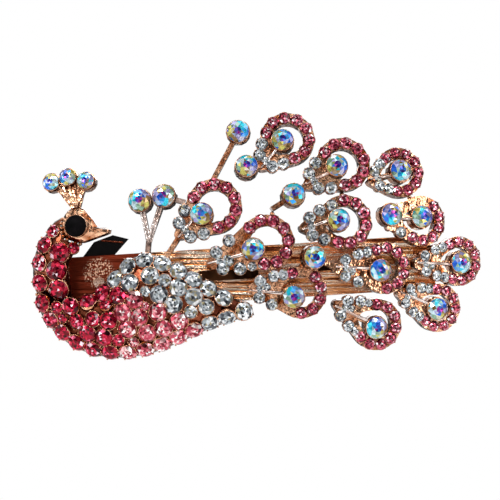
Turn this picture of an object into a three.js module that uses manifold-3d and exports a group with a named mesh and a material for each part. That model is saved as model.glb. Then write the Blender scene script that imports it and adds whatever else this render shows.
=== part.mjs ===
/*
 * Peacock hair barrette, millimetres, +Z up, worn upright.
 *
 * The origin is the middle of the hair grip, on the rear face of the clip bar. +X runs along the
 * ornament from the bird's breast to the tip of its tail, and the ornament faces -Y.
 *
 * The ornament is a thin casting bowed back at its edges like a shallow dome. It is made here as a
 * head, a neck, a body, two plume stems and twelve open teardrop feathers. Stones sit 0.3 mm above
 * their castings, and the small ones of a row are joined by the glue line that they stand in.
 */
import * as THREE from "three";
import { mergeVertices } from "three/addons/utils/BufferGeometryUtils.js";
import Module from "manifold-3d";

const wasm = await Module();
wasm.setup();

// ---- driving dimensions ---------------------------------------------------------------------
const GAP = 0.3; // air or glue between two pieces that touch on the real object
const DOME = { depth: -2.2, leftRadius: 160, rightRadius: 90, rightStart: 7, heightRadius: 100 };
const FEATHER = {
  thick: 2.2, bandHalf: 1.25, tipRadius: 1.15, ribHalf: 0.3, ribRise: 0.45, cupWall: 0.3,
  stones: 8, turn: 33.5, clearShare: 0.86, flank: [[-0.84, 0.4], [-0.57, 0.68]],
  holeTail: 1.9, holeReach: 2.6,
};
const LARGE_STONE = 2.45; // radius of the large iridescent stones
const SMALL_STONE = 0.265; // radius of a small stone over the radius of its feather's ring
const STEM_HALF = 0.55;
const STEM_FOOT = 0.3; // stems stand in from a casting's back and front by this
const GLUE_RADIUS = 0.28;
const GLUE_LIFT = 0.8; // from a domed casting to the middle of the glue bars on it
const STONE_LIFT = 0.5; // from a domed casting to the foot of the stones on it
const GLUE_HALF = 0.45;
const GLUE_THICK = 0.35;
const RIM_SPARE = 0.05; // room between a casting's rim and the stones that lean over it
const FINEST = 0.01;
const CUT = { low: -3, high: 6 }; // how far a feather's cut reaches behind and in front of its seat
const THROUGH = 30; // deeper than the whole part
const CASTING_BACK = 0.3; // how far a domed casting's rim stands behind its front edge
const BAR = { left: -37.5, right: 39.3, half: 6, thick: 1, radius: 160, tilt: 0.0628 };
const EAR = { left: 35.4, right: 38.5, thick: 0.8, rear: 8.6, tip: 40.6 }; // hinge ears at the bar's end
const TONGUES = [{ right: 43.2, z0: 1.0, z1: 6 }, { right: 44.0, z0: -6, z1: -1.5 }]; // past the ears
const TONGUE = { left: 39.3, front: 6.4, rear: 7.2 };
const SLOTS = [[-8.5, 4.5, -1.2, 1.2], [17.8, 21.8, -0.5, 1.0]]; // left, right, bottom, top
const PIN = {
  x: 37, depth: 7.2, radius: 0.55, hole: 0.85, knuckle: 1.35, headRadius: 1.0, headThick: 0.5,
  overrun: 3, sides: 12, // how far the pin's hole is cut past the bar's edges, and its facets
};
const ARM = {
  left: -38, right: 38.4, half: 4.6, thick: 0.8, depth: 7.0, rise: 0.2,
  slotLeft: -35.8, slotRight: 28, slotHalf: 3.3,
};
const LATCH = {
  left: -34.4, right: -27.5, wall: 0.4, wallZ: 2.6, wallFoot: 0.4, wallShoulder: 7.2, baseThick: 0.5,
  hookLeft: -30.4, hookReach: 0.75, hookThick: 0.45, rear: 8.3,
};
// The finger wings of the latch; the outline is the upper wing's free edge, from right to left.
const WING = {
  depth: 4.85, thick: 0.46,
  edge: [[-27.5, 5.7], [-23.9, 9.3], [-27.4, 10.4], [-31.7, 9.1], [-34.4, 5.9]],
};
const RIVET = { x: -31, shank: 0.6, hole: 0.9, head: 1.2, front: -4.8, rear: -1.35, headThick: 0.38, sides: 10 };
const RIVET_HOLE = { front: -8, rear: 4 };
const BOW = { left: -23, right: 31, half: 2.6, thick: 0.4, depth: 1.6, radius: 250 };

// Each feather: its name, ring centre, root tip and stone centre in X and Z, and its ring radius.
// `stems` are extra stems, each from one place to another.
const FEATHERS = [
  {
    name: "feather_01", ring: [-5.2, 14.7], root: [-13.8, 7.7], eye: [-8.0, 12.9], radius: 4.9,
    stems: [[[-12.4, 8.9], [-16.2, 3.0]]],
  },
  { name: "feather_02", ring: [10.9, 29.4], root: [4.4, 22.7], eye: [9.7, 28.9], radius: 4.8 },
  {
    name: "feather_03", ring: [23.0, 23.9], root: [14.2, 18.8], eye: [21.4, 23.4], radius: 4.8,
    stems: [[[11.9, 17.0], [7.2, 14.0]]],
  },
  { name: "feather_04", ring: [35.3, 22.2], root: [28.3, 20.1], eye: [35.4, 22.4], radius: 4.4 },
  { name: "feather_05", ring: [23.3, 11.3], root: [13.2, 9.9], eye: [21.8, 11.7], radius: 4.8 },
  { name: "feather_06", ring: [6.3, 6.9], root: [-7.1, 1.6], eye: [3.3, 5.3], radius: 4.9 },
  { name: "feather_07", ring: [40.1, 11.6], root: [31.0, 12.3], eye: [39.9, 12.4], radius: 4.4 },
  { name: "feather_08", ring: [48.4, 2.8], root: [38.3, 2.1], eye: [48.6, 2.5], radius: 4.3 },
  { name: "feather_09", ring: [32.0, 1.3], root: [20.4, 1.3], eye: [30.8, 0.8], radius: 4.5 },
  { name: "feather_10", ring: [13.7, -3.9], root: [1.8, -3.1], eye: [12.1, -4.9], radius: 4.6 },
  { name: "feather_11", ring: [30.2, -11.0], root: [20.6, -6.2], eye: [30.0, -11.6], radius: 4.5 },
  { name: "feather_12", ring: [43.8, -7.4], root: [34.6, -3.9], eye: [43.3, -7.6], radius: 4.2 },
];

// Link stones stand between feathers, each on a cup and stem of the feather named `on`.
const LINK_STONES = [
  { name: "link_stone_1", at: [0.1, 31.2], stem: [-5.6, 20.4], on: "feather_01" },
  { name: "link_stone_2", at: [1.8, 23.1], stem: [5.4, 23.7], on: "feather_02" },
  { name: "link_stone_3", at: [11.9, 17.0], stem: [15.4, 19.5], on: "feather_03" },
  { name: "link_stone_4", at: [16.2, 3.7], stem: [21.4, 1.3], on: "feather_09" },
  { name: "link_stone_5", at: [33.1, 12.9], stem: [31.5, 12.3], on: "feather_07" },
];

// Head, neck and body outlines in X and Z, and how far each one bulges forward.
const HEAD = {
  outline: [[-38.9, 8.2], [-37.2, 7.4], [-34.6, 6.8], [-31.4, 7.8], [-27.9, 9.3], [-28.4, 10.1],
    [-31.0, 10.4], [-31.8, 11.6], [-33.3, 13.4], [-34.6, 14.7], [-37.0, 14.7], [-38.7, 12.8],
    [-39.3, 10.4]],
  centre: [-36.0, 10.6], front: 2.6, bulge: 2.2,
};
const NECK = {
  outline: [[-40.9, 11.6], [-42.6, 9.1], [-44.6, 6.0], [-45.6, 2.6], [-45.6, -1.4], [-45.0, -4.2],
    [-41.0, -5.5], [-37.2, -5.4], [-37.4, -2.0], [-37.9, 1.5], [-36.6, 4.4], [-34.8, 6.9],
    [-36.6, 8.4], [-38.8, 12.4]],
  centre: [-41.3, 1.2], front: 1.6, bulge: 3.0,
  stones: [[-40.9, 9.3, 1.25], [-42.8, 6.3, 1.65], [-43.9, 2.4, 1.65], [-43.8, -1.9, 1.65],
    [-36.5, 5.6, 1.1], [-39.5, 4.7, 1.9], [-40.2, 0.8, 1.95], [-39.7, -3.3, 1.95]],
};
const BODY = {
  outline: [[-44.9, -4.7], [-44.2, -8.2], [-42.0, -11.6], [-38.2, -15.2], [-33.0, -17.7], [-26.4, -18.6],
    [-19.6, -17.7], [-13.0, -15.2], [-6.0, -12.0], [0.0, -10.0], [4.2, -8.6], [0.4, -6.0],
    [-4.0, -3.2], [-8.6, -0.4], [-13.4, 2.2], [-19.4, 4.3], [-24.6, 3.0], [-28.4, -0.6], [-31.8, -4.0],
    [-36.2, -5.6], [-41.0, -5.7]],
  centre: [-20.5, -8.2], front: 1.8, bulge: 4.4,
};
const CROWN = {
  stones: [[-41.1, 20.0], [-37.4, 21.1], [-33.4, 20.3]], radius: 1.9, thick: 1.8, foot: [-36.0, 15.0],
  web: [[-41.0, 19.6], [-33.6, 19.8], [-34.9, 14.4], [-37.0, 14.4]],
};
const EYE = { at: [-35.6, 10.5], radius: 2.5, lift: 0.7 };
const PLUMES = {
  stones: [[-21.4, 15.9], [-16.1, 16.9]], radius: 2.5, thick: 2.0,
  join: [-19.6, 7.2], foot: [-20.0, 2.0], toFeather: [-10.5, 15.4],
};
const WING_EDGE = { x: -26, z: -2.3, fall: 0.42 }; // clear stones lie above this sloping line
const BREAST_RIGHT = -25.5; // ruby stones lie left of this
const OUTLINE_STEPS = 640;
const PAVING = {
  radii: [1.85, 1.6, 1.35, 1.1, 0.9], // the rim row's and first ones' radius, then the fillers'
  rimSpare: 0.12, spare: 0.05, overhang: 0.35, grid: 0.2,
};

const COLOUR = {
  roseGold: [0xc98a6b, 0.22, 1], steel: [0x8d7a72, 0.35, 1], pink: [0xb0375f, 0.1, 0.1],
  rose: [0xe39aa5, 0.1, 0.1], clear: [0xc4cbd6, 0.08, 0.1], iridescent: [0x5d8fd0, 0.08, 0.3],
  black: [0x08080a, 0.06, 0],
};

// ---- solids ---------------------------------------------------------------------------------
function solid(geometry, matrix) {
  const bare = geometry.clone();
  bare.deleteAttribute("normal");
  bare.deleteAttribute("uv");
  if (matrix) bare.applyMatrix4(matrix);
  const merged = mergeVertices(bare, 1e-4);
  return new wasm.Manifold(new wasm.Mesh({
    numProp: 3,
    vertProperties: new Float32Array(merged.attributes.position.array),
    triVerts: new Uint32Array(merged.index.array),
  }));
}

function joined(solids) {
  return solids.reduce((whole, next) => whole.add(next));
}

// Slivers shorter than `FINEST` are closed up, so that a cut piece stays one clean closed body.
function named(name, body, [color, roughness, metalness]) {
  const { vertProperties, triVerts } = body.asOriginal().simplify(FINEST).getMesh();
  const geometry = new THREE.BufferGeometry();
  geometry.setAttribute("position", new THREE.BufferAttribute(new Float32Array(vertProperties), 3));
  geometry.setIndex([...triVerts]);
  const material = new THREE.MeshStandardMaterial({ color, roughness, metalness, flatShading: true });
  const mesh = new THREE.Mesh(geometry, material);
  mesh.name = name;
  return mesh;
}

function box(x0, x1, y0, y1, z0, z1) {
  const shape = new THREE.BoxGeometry(x1 - x0, y1 - y0, z1 - z0);
  return solid(shape, new THREE.Matrix4().makeTranslation((x0 + x1) / 2, (y0 + y1) / 2, (z0 + z1) / 2));
}

// A flat outline pushed straight through from `low` to `high` along its local third axis.
function plate(points, low, high, hole = null) {
  const shape = new THREE.Shape(points.map(([u, v]) => new THREE.Vector2(u, v)));
  if (hole) shape.holes.push(new THREE.Path(hole.map(([u, v]) => new THREE.Vector2(u, v))));
  const geometry = new THREE.ExtrudeGeometry(shape, { depth: high - low, bevelEnabled: false });
  return solid(geometry, new THREE.Matrix4().makeTranslation(0, 0, low));
}

function disc(u, v, radius, low, high, sides = 14) {
  const geometry = new THREE.CylinderGeometry(radius, radius, high - low, sides).rotateX(Math.PI / 2);
  return solid(geometry, new THREE.Matrix4().makeTranslation(u, v, (low + high) / 2));
}

function rod(from, to, half, low, high) {
  const [du, dv] = [to[0] - from[0], to[1] - from[1]];
  const length = Math.hypot(du, dv);
  const [nu, nv] = [(-dv / length) * half, (du / length) * half];
  const corners = [
    [from[0] - nu, from[1] - nv],
    [to[0] - nu, to[1] - nv],
    [to[0] + nu, to[1] + nv],
    [from[0] + nu, from[1] + nv],
  ];
  return plate(corners, low, high);
}

// ---- the dome that the ornament lies on --------------------------------------------------------
function domeDepth(x, z) {
  const right = Math.max(0, x - DOME.rightStart);
  const left = Math.min(0, x);
  return DOME.depth + right ** 2 / (2 * DOME.rightRadius) + left ** 2 / (2 * DOME.leftRadius)
    + z ** 2 / (2 * DOME.heightRadius);
}

function normalOf(depthAt, x, z) {
  const step = 0.05;
  const slopeX = (depthAt(x + step, z) - depthAt(x - step, z)) / (2 * step);
  const slopeZ = (depthAt(x, z + step) - depthAt(x, z - step)) / (2 * step);
  return new THREE.Vector3(slopeX, -1, slopeZ).normalize();
}

// A seat on a surface: local u runs toward `heading` in X and Z, v across it and w out to the front.
function seat(depthAt, [x, z], heading = [1, 0]) {
  const w = normalOf(depthAt, x, z);
  const fall = (w.x * heading[0] + w.z * heading[1]) / -w.y;
  const u = new THREE.Vector3(heading[0], fall, heading[1]).normalize();
  const v = new THREE.Vector3().crossVectors(w, u);
  const matrix = new THREE.Matrix4().makeBasis(u, v, w).setPosition(x, depthAt(x, z), z);
  const local = ([px, pz]) => {
    const rise = (w.x * (px - x) + w.z * (pz - z)) / -w.y;
    const reach = new THREE.Vector3(px - x, rise, pz - z);
    return [reach.dot(u), reach.dot(v)];
  };
  return { matrix, local };
}

// ---- stones -----------------------------------------------------------------------------------
function turned(profile, sides) {
  const points = profile.map(([radius, height]) => new THREE.Vector2(radius, height));
  return new THREE.LatheGeometry(points, sides).rotateX(Math.PI / 2);
}

// A small stone: a girdle at its foot, sloping facets and a flat six-sided table.
function smallStone(radius, matrix) {
  const heights = [[0, 0], [1, 0], [0.55, 0.65], [0, 0.65]];
  return solid(turned(heights.map(([reach, height]) => [reach * radius, height * radius]), 6), matrix);
}

// A large stone: a narrow foot, a girdle and a flat ten-sided table.
function largeStone(radius, matrix) {
  const heights = [[0, 0], [0.7, 0], [1, 0.3], [0.5, 0.72], [0, 0.72]];
  return solid(turned(heights.map(([reach, height]) => [reach * radius, height * radius]), 10), matrix);
}

function lifted(matrix, u, v, w) {
  return matrix.clone().multiply(new THREE.Matrix4().makeTranslation(u, v, w));
}

// ---- feathers -----------------------------------------------------------------------------------
// Outline round a circle at the origin and a smaller one at -reach on the u axis.
function teardrop(radius, tipRadius, reach, steps) {
  const wrap = Math.acos((radius - tipRadius) / reach);
  const points = [];
  for (let i = 0; i <= steps; i += 1) {
    const angle = -(Math.PI - wrap) + (2 * (Math.PI - wrap) * i) / steps;
    points.push([radius * Math.cos(angle), radius * Math.sin(angle)]);
  }
  for (let i = 0; i <= 4; i += 1) {
    const angle = Math.PI - wrap + (2 * wrap * i) / 4;
    points.push([-reach + tipRadius * Math.cos(angle), tipRadius * Math.sin(angle)]);
  }
  return points;
}

function featherSeat(feather) {
  const [rx, rz] = feather.ring;
  const heading = [rx - feather.root[0], rz - feather.root[1]];
  const place = seat(domeDepth, feather.ring, heading);
  const root = -place.local(feather.root)[0];
  return { ...place, reach: root - FEATHER.tipRadius };
}

// The small stones' places in order from flank to flank: the ring's, and the clear ones of each flank.
function smallStonePlaces(feather, reach) {
  const radius = SMALL_STONE * feather.radius;
  const ring = Array.from({ length: FEATHER.stones }, (_, i) => {
    const angle = ((i - (FEATHER.stones - 1) / 2) * FEATHER.turn * Math.PI) / 180;
    return { at: [feather.radius * Math.cos(angle), feather.radius * Math.sin(angle)], radius };
  });
  const flank = (side) => FEATHER.flank.map(([share, across]) => (
    { at: [share * reach, side * across * feather.radius], radius: FEATHER.clearShare * radius }
  ));
  return [...flank(-1), ...ring, ...flank(1).reverse()];
}

function links(feather, place) {
  return LINK_STONES.filter((each) => each.on === feather.name).map(({ at }) => place.local(at));
}

// What a feather's frame covers seen from the front, `extra` wider all round.
function featherPlates(feather, place, extra, low, high) {
  const large = LARGE_STONE + FEATHER.cupWall + extra;
  const radius = feather.radius + FEATHER.bandHalf + extra;
  return {
    outline: teardrop(radius, FEATHER.tipRadius + extra, place.reach, 20),
    cups: links(feather, place).map(([u, v]) => disc(u, v, large, low, high)),
    pads: smallStonePlaces(feather, place.reach)
      .map(({ at: [u, v], radius: stone }) => disc(u, v, stone + extra, low, high, 10)),
  };
}

function featherFrame(feather) {
  const place = featherSeat(feather);
  const top = FEATHER.thick;
  const { outline, cups, pads } = featherPlates(feather, place, 0, 0.1, top);
  const hole = teardrop(feather.radius - FEATHER.bandHalf, FEATHER.holeTail, FEATHER.holeReach, 16);
  const eye = place.local(feather.eye);
  const reach = Math.hypot(eye[0] + place.reach, eye[1]);
  const ribEnd = 1 - (LARGE_STONE + FEATHER.cupWall) / reach;
  const parts = [
    plate(outline, 0, top, hole),
    rod([-place.reach, 0], eye, 2 * FEATHER.ribHalf, 0.2, top - 0.3),
    rod([-place.reach, 0], [-place.reach + ribEnd * (eye[0] + place.reach), ribEnd * eye[1]],
      FEATHER.ribHalf, top - 0.3, top + FEATHER.ribRise),
    disc(eye[0], eye[1], LARGE_STONE + FEATHER.cupWall, 0.1, top),
    ...cups,
    ...pads,
  ];
  const stems = LINK_STONES.filter((each) => each.on === feather.name).map(({ at, stem }) => [at, stem]);
  for (const [from, to] of [...stems, ...(feather.stems ?? [])]) {
    parts.push(rod(place.local(from), place.local(to), STEM_HALF, STEM_FOOT, top - STEM_FOOT));
  }
  const overLinks = links(feather, place).map(([u, v]) => disc(u, v, LARGE_STONE + GAP, top, CUT.high));
  const frame = overLinks.reduce((rest, room) => rest.subtract(room), joined(parts));
  return frame.transform(place.matrix.elements);
}

// A place is left empty where a large stone stands over it.
function featherStones(feather) {
  const { matrix, reach, local } = featherSeat(feather);
  const large = [...LINK_STONES.map((link) => local(link.at)), local(feather.eye)];
  const isOpen = ({ at: [u, v], radius }) => (
    large.every(([lu, lv]) => Math.hypot(u - lu, v - lv) > LARGE_STONE + radius + RIM_SPARE)
  );
  const places = smallStonePlaces(feather, reach).filter(isOpen);
  const foot = FEATHER.thick + GAP;
  const stones = places.map(({ at, radius }) => smallStone(radius, lifted(matrix, at[0], at[1], foot)));
  const bars = places.slice(1).map(({ at }, i) => rod(places[i].at, at, GLUE_HALF, foot, foot + GLUE_THICK));
  const glue = bars.map((bar) => bar.transform(matrix.elements));
  return joined([...glue, ...stones]);
}

// A large stone standing on a feather's frame.
function featherStone(feather, at) {
  const { matrix, local } = featherSeat(feather);
  const [u, v] = local(at);
  return largeStone(LARGE_STONE, lifted(matrix, u, v, FEATHER.thick + GAP));
}

// ---- head, neck and body castings -----------------------------------------------------------------
function smoothOutline(points, steps) {
  const corners = points.map(([x, z]) => new THREE.Vector3(x, 0, z));
  const curve = new THREE.CatmullRomCurve3(corners, true, "centripetal");
  return curve.getSpacedPoints(steps).slice(0, steps).map((point) => [point.x, point.z]);
}

// How far (x, z) lies along the ray from the centre through it to the outline, as a share.
function shareOfReach({ centre, edge }, x, z) {
  const [dx, dz] = [x - centre[0], z - centre[1]];
  let share = 0;
  edge.forEach(([ax, az], i) => {
    const [bx, bz] = edge[(i + 1) % edge.length];
    const [ex, ez] = [bx - ax, bz - az];
    const cross = dx * ez - dz * ex;
    if (Math.abs(cross) < 1e-9) return;
    const along = ((ax - centre[0]) * dz - (az - centre[1]) * dx) / cross;
    const scale = ((ax - centre[0]) * ez - (az - centre[1]) * ex) / cross;
    if (along >= -1e-6 && along <= 1 + 1e-6 && scale > 0) share = Math.max(share, 1 / scale);
  });
  return share;
}

function casting(spec, steps) {
  const edge = smoothOutline(spec.outline, steps);
  const body = { ...spec, edge };
  body.depthAt = (x, z) => {
    const share = Math.min(1, shareOfReach(body, x, z));
    return domeDepth(x, z) - spec.front - spec.bulge * Math.sqrt(1 - share ** 2.4);
  };
  return body;
}

// A crowned solid: rings of points from the middle of the front out to the rim, then the flat back.
function crowned(body) {
  const shares = [0.3, 0.55, 0.76, 0.9, 0.975, 1];
  const count = body.edge.length;
  const [cx, cz] = body.centre;
  const points = [[cx, body.depthAt(cx, cz), cz]];
  for (const share of shares) {
    for (const [ex, ez] of body.edge) {
      const [x, z] = [cx + share * (ex - cx), cz + share * (ez - cz)];
      const depth = share === 1 ? domeDepth(x, z) - body.front : body.depthAt(x, z);
      points.push([x, depth, z]);
    }
  }
  for (const [x, z] of body.edge) points.push([x, domeDepth(x, z), z]);
  points.push([cx, domeDepth(cx, cz) - CASTING_BACK, cz]);
  const faces = [];
  const last = points.length - 1;
  for (let i = 0; i < count; i += 1) {
    const next = (i + 1) % count;
    faces.push([0, 1 + i, 1 + next]);
    for (let ring = 0; ring < shares.length; ring += 1) {
      const [a, b] = [1 + ring * count, 1 + (ring + 1) * count];
      faces.push([a + i, b + i, b + next], [a + i, b + next, a + next]);
    }
    faces.push([last, last - count + next, last - count + i]);
  }
  const geometry = new THREE.BufferGeometry();
  geometry.setAttribute("position", new THREE.Float32BufferAttribute(points.flat(), 3));
  geometry.setIndex(faces.flat());
  return solid(geometry);
}

// A place on a casting, with the depth of its surface there.
function placeOn(body, at) {
  return { at, depth: body.depthAt(at[0], at[1]) };
}

function spacing(a, b) {
  return Math.hypot(a.at[0] - b.at[0], a.at[1] - b.at[1], a.depth - b.depth);
}

// Places along the rim, moved inward by `inset` and at least `pitch` apart.
function rimPlaces(body, path, inset, pitch) {
  const places = [];
  path.forEach(([x, z], i) => {
    const [ax, az] = path[(i + path.length - 1) % path.length];
    const [bx, bz] = path[(i + 1) % path.length];
    const length = Math.hypot(bx - ax, bz - az);
    const at = [x + ((az - bz) / length) * inset, z + ((bx - ax) / length) * inset];
    const isInside = path.every(([px, pz]) => Math.hypot(px - at[0], pz - at[1]) > inset - 0.15);
    const place = placeOn(body, at);
    if (isInside && places.every((other) => spacing(place, other) > pitch)) places.push(place);
  });
  return places;
}

// Grid points at least `inset` inside the rim.
function innerPlaces(body, path, inset) {
  const { edge, centre } = body;
  const reach = Math.max(...edge.map(([x, z]) => Math.hypot(x - centre[0], z - centre[1])));
  const places = [];
  for (let x = centre[0] - reach; x < centre[0] + reach; x += PAVING.grid) {
    for (let z = centre[1] - reach; z < centre[1] + reach; z += PAVING.grid) {
      const isClear = path.every(([px, pz]) => Math.hypot(px - x, pz - z) > inset);
      if (isClear && shareOfReach(body, x, z) < 1) places.push(placeOn(body, [x, z]));
    }
  }
  return places;
}

// Fills the open places, each time at the one that lies closest to two stones already there.
function fillSnugly(stones, places, radius, spare) {
  let open = places.map((place) => ({ ...place, near: [] }));
  const meet = (stone) => {
    for (const place of open) {
      place.near.push(spacing(place, stone) - stone.radius - radius - spare);
      place.near = place.near.sort((a, b) => a - b).slice(0, 2);
    }
    open = open.filter(({ near }) => near[0] > 0);
  };
  stones.forEach(meet);
  while (open.length > 0) {
    const { at, depth } = open.reduce((a, b) => (a.near[0] + a.near[1] < b.near[0] + b.near[1] ? a : b));
    stones.push({ at, depth, radius });
    meet(stones.at(-1));
  }
}

// A row of stones along the rim, then the middle filled with smaller and smaller ones.
function pavedStones(body) {
  const { radii, rimSpare, spare, overhang } = PAVING;
  const path = smoothOutline(body.outline, OUTLINE_STEPS);
  const [radius] = radii;
  const rim = rimPlaces(body, path, radius - overhang, 2 * radius + rimSpare);
  const stones = rim.map((place) => ({ ...place, radius }));
  radii.forEach((size) => fillSnugly(stones, innerPlaces(body, path, size - overhang), size, spare));
  return stones;
}

// Stones of one colour on a casting, each tied by its glue to the nearest stone already in the group.
function stoneGroup(body, placed) {
  const seats = placed.map(({ at }) => seat(body.depthAt, at));
  const feet = seats.map(({ matrix }) => new THREE.Vector3(0, 0, GLUE_LIFT).applyMatrix4(matrix));
  const stones = seats.map(
    ({ matrix }, i) => smallStone(placed[i].radius, lifted(matrix, 0, 0, STONE_LIFT)),
  );
  const left = new Set(placed.keys());
  const tied = [0];
  left.delete(0);
  while (left.size > 0) {
    let best = null;
    for (const i of left) {
      for (const j of tied) {
        const distance = feet[i].distanceTo(feet[j]);
        if (!best || distance < best.distance) best = { i, j, distance };
      }
    }
    stones.push(glueBar(feet[best.i], feet[best.j]));
    tied.push(best.i);
    left.delete(best.i);
  }
  const clearance = crowned({ ...body, edge: grown(body.edge, RIM_SPARE) }).translate([0, -GAP, 0]);
  return joined(stones).subtract(clearance);
}

function glueBar(from, to) {
  const along = new THREE.Vector3().subVectors(to, from);
  const up = new THREE.Vector3(0, 1, 0);
  const turn = new THREE.Quaternion().setFromUnitVectors(up, along.clone().normalize());
  const middle = new THREE.Vector3().addVectors(from, to).multiplyScalar(0.5);
  const matrix = new THREE.Matrix4().compose(middle, turn, new THREE.Vector3(1, 1, 1));
  return solid(new THREE.CylinderGeometry(GLUE_RADIUS, GLUE_RADIUS, along.length(), 4), matrix);
}

// An outline moved outward by `by`, for cutting a neighbour back to leave a gap.
function grown(points, by) {
  const moved = points.map(([x, z], i) => {
    const [ax, az] = points[(i + points.length - 1) % points.length];
    const [bx, bz] = points[(i + 1) % points.length];
    const length = Math.hypot(bx - ax, bz - az);
    return [x + ((bz - az) / length) * by, z - ((bx - ax) / length) * by];
  });
  return moved;
}

// Flat things drawn in X and Z, pushed along -Y: local u, v and w become X, Z and -Y.
const FACING_FRONT = new THREE.Matrix4().makeBasis(
  new THREE.Vector3(1, 0, 0), new THREE.Vector3(0, 0, 1), new THREE.Vector3(0, -1, 0),
);

function throughCut(outline) {
  return plate(grown(outline, GAP), -THROUGH, THROUGH).transform(FACING_FRONT.elements);
}

// Feathers whose roots run under a neighbour's ring are cut back from it by the gap.
function featherCut(feather) {
  const place = featherSeat(feather);
  const { outline, cups, pads } = featherPlates(feather, place, GAP, CUT.low, CUT.high);
  return joined([plate(outline, CUT.low, CUT.high), ...cups, ...pads]).transform(place.matrix.elements);
}

// ---- plumes and crown ------------------------------------------------------------------------------
function cupsAndStems(place, { stones: cups, radius, thick }, stems) {
  const parts = cups.map((cup) => {
    const [u, v] = place.local(cup);
    return disc(u, v, radius + FEATHER.cupWall, 0, thick);
  });
  for (const [from, to] of stems) {
    parts.push(rod(place.local(from), place.local(to), STEM_HALF, STEM_FOOT, thick - STEM_FOOT));
  }
  return joined(parts).transform(place.matrix.elements);
}

function cupStones(place, { stones: cups, radius, thick }) {
  const foot = thick + GAP;
  const at = cups.map((cup) => place.local(cup));
  const stones = at.map(([u, v]) => largeStone(radius, lifted(place.matrix, u, v, foot)));
  const bars = at.slice(1).map((next, i) => rod(at[i], next, GLUE_HALF, foot, foot + GLUE_THICK));
  const glue = bars.map((bar) => bar.transform(place.matrix.elements));
  return joined([...stones, ...glue]);
}

// ---- barrette: a strip along X between two depths that vary with x ----------------------------------
function strip(x0, x1, frontAt, rearAt, z0, z1, steps = 20) {
  const along = Array.from({ length: steps + 1 }, (_, i) => x0 + ((x1 - x0) * i) / steps);
  const front = along.map((x) => [x, frontAt(x)]);
  const rear = along.map((x) => [x, rearAt(x)]).reverse();
  return plate([...front, ...rear], z0, z1);
}

const barRear = (x) => x ** 2 / (2 * BAR.radius);
const armMiddle = (x) => ARM.depth + ARM.rise * (x / PIN.x) ** 2;
const bowMiddle = (x) => BOW.depth + x ** 2 / (2 * BOW.radius);

function pinHole() {
  const reach = BAR.half + PIN.overrun;
  return disc(PIN.x, 0, PIN.hole, -reach, reach, PIN.sides).translate([0, PIN.depth, 0]);
}

// A round bar standing on the clip bar's face at the rivet's place, between two depths.
function atRivet(radius, front, rear, sides) {
  return disc(0, 0, radius, front, rear, sides).transform(FACING_FRONT.elements).translate([RIVET.x, 0, 0]);
}

function rivetHole() {
  return atRivet(RIVET.hole, RIVET_HOLE.front, RIVET_HOLE.rear, RIVET.sides);
}

function clipBar() {
  const { left, right, half, thick } = BAR;
  const front = barRear(EAR.left) - thick / 2;
  const ear = [
    [EAR.left, front], [EAR.right, front], [EAR.tip, TONGUE.front], [EAR.tip, TONGUE.rear],
    [EAR.right, EAR.rear], [EAR.left, EAR.rear],
  ];
  const tongues = TONGUES.map(({ right: tip, z0, z1 }) => (
    box(TONGUE.left, tip, TONGUE.front, TONGUE.rear, z0, z1)
  ));
  const whole = strip(left, right, (x) => barRear(x) - thick, barRear, -half, half, 24)
    .add(plate(ear, half - EAR.thick, half))
    .add(plate(ear, -half, EAR.thick - half))
    .add(joined(tongues));
  const slots = SLOTS.map(([x0, x1, z0, z1]) => box(x0, x1, -half, half, z0, z1));
  return whole.subtract(joined(slots)).subtract(rivetHole()).subtract(pinHole());
}

function clipArm() {
  const front = (x) => armMiddle(x) - ARM.thick / 2;
  const rear = (x) => armMiddle(x) + ARM.thick / 2;
  const slot = box(ARM.slotLeft, ARM.slotRight, 0, 2 * ARM.depth, -ARM.slotHalf, ARM.slotHalf);
  const knuckle = disc(PIN.x, 0, PIN.knuckle, -ARM.half, ARM.half).translate([0, PIN.depth, 0]);
  return strip(ARM.left, ARM.right, front, rear, -ARM.half, ARM.half)
    .subtract(slot)
    .add(knuckle)
    .subtract(pinHole());
}

function hingePin() {
  const inside = BAR.half + GAP;
  const outside = inside + PIN.headThick;
  return disc(PIN.x, 0, PIN.radius, -outside, outside, 10)
    .add(disc(PIN.x, 0, PIN.headRadius, inside, outside))
    .add(disc(PIN.x, 0, PIN.headRadius, -outside, -inside))
    .translate([0, PIN.depth, 0]);
}

function latchBase() {
  const { left, right, wallZ, baseThick } = LATCH;
  const front = (x) => barRear(x) + GAP;
  return strip(left, right, front, (x) => front(x) + baseThick, GAP - wallZ, wallZ - GAP, 4)
    .subtract(rivetHole());
}

// A sprung jaw: its wall stands inside the arm's slot, its hook laps over the rail, and its flared
// wing stands out past the bar's edge for a finger. `side` is 1 for the upper jaw, -1 for the lower.
function latchJaw(side) {
  const { left, right, wall, wallZ, wallShoulder, hookLeft, hookReach, hookThick, rear } = LATCH;
  const foot = (x) => barRear(x) + LATCH.wallFoot;
  const wallShape = [
    [left, foot(left)], [right, foot(right)], [right, rear], [hookLeft, rear], [left, wallShoulder],
  ];
  const wing = [[left, wallZ], [right, wallZ], ...WING.edge];
  const flat = plate(wing, -WING.thick / 2, WING.thick / 2).transform(FACING_FRONT.elements);
  const jaw = plate(wallShape, wallZ, wallZ + wall)
    .add(flat.translate([0, WING.depth, 0]))
    .add(box(hookLeft, right, rear - hookThick, rear, wallZ, wallZ + wall + hookReach));
  return side > 0 ? jaw : jaw.mirror([0, 0, 1]);
}

function latchRivet() {
  const { shank, head, front, rear, headThick, sides } = RIVET;
  return atRivet(shank, front, rear, sides)
    .add(atRivet(head, front, front + headThick))
    .add(atRivet(head, rear - headThick, rear));
}

function bowSpring() {
  const front = (x) => bowMiddle(x) - BOW.thick / 2;
  const rear = (x) => bowMiddle(x) + BOW.thick / 2;
  return strip(BOW.left, BOW.right, front, rear, -BOW.half, BOW.half);
}

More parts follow.
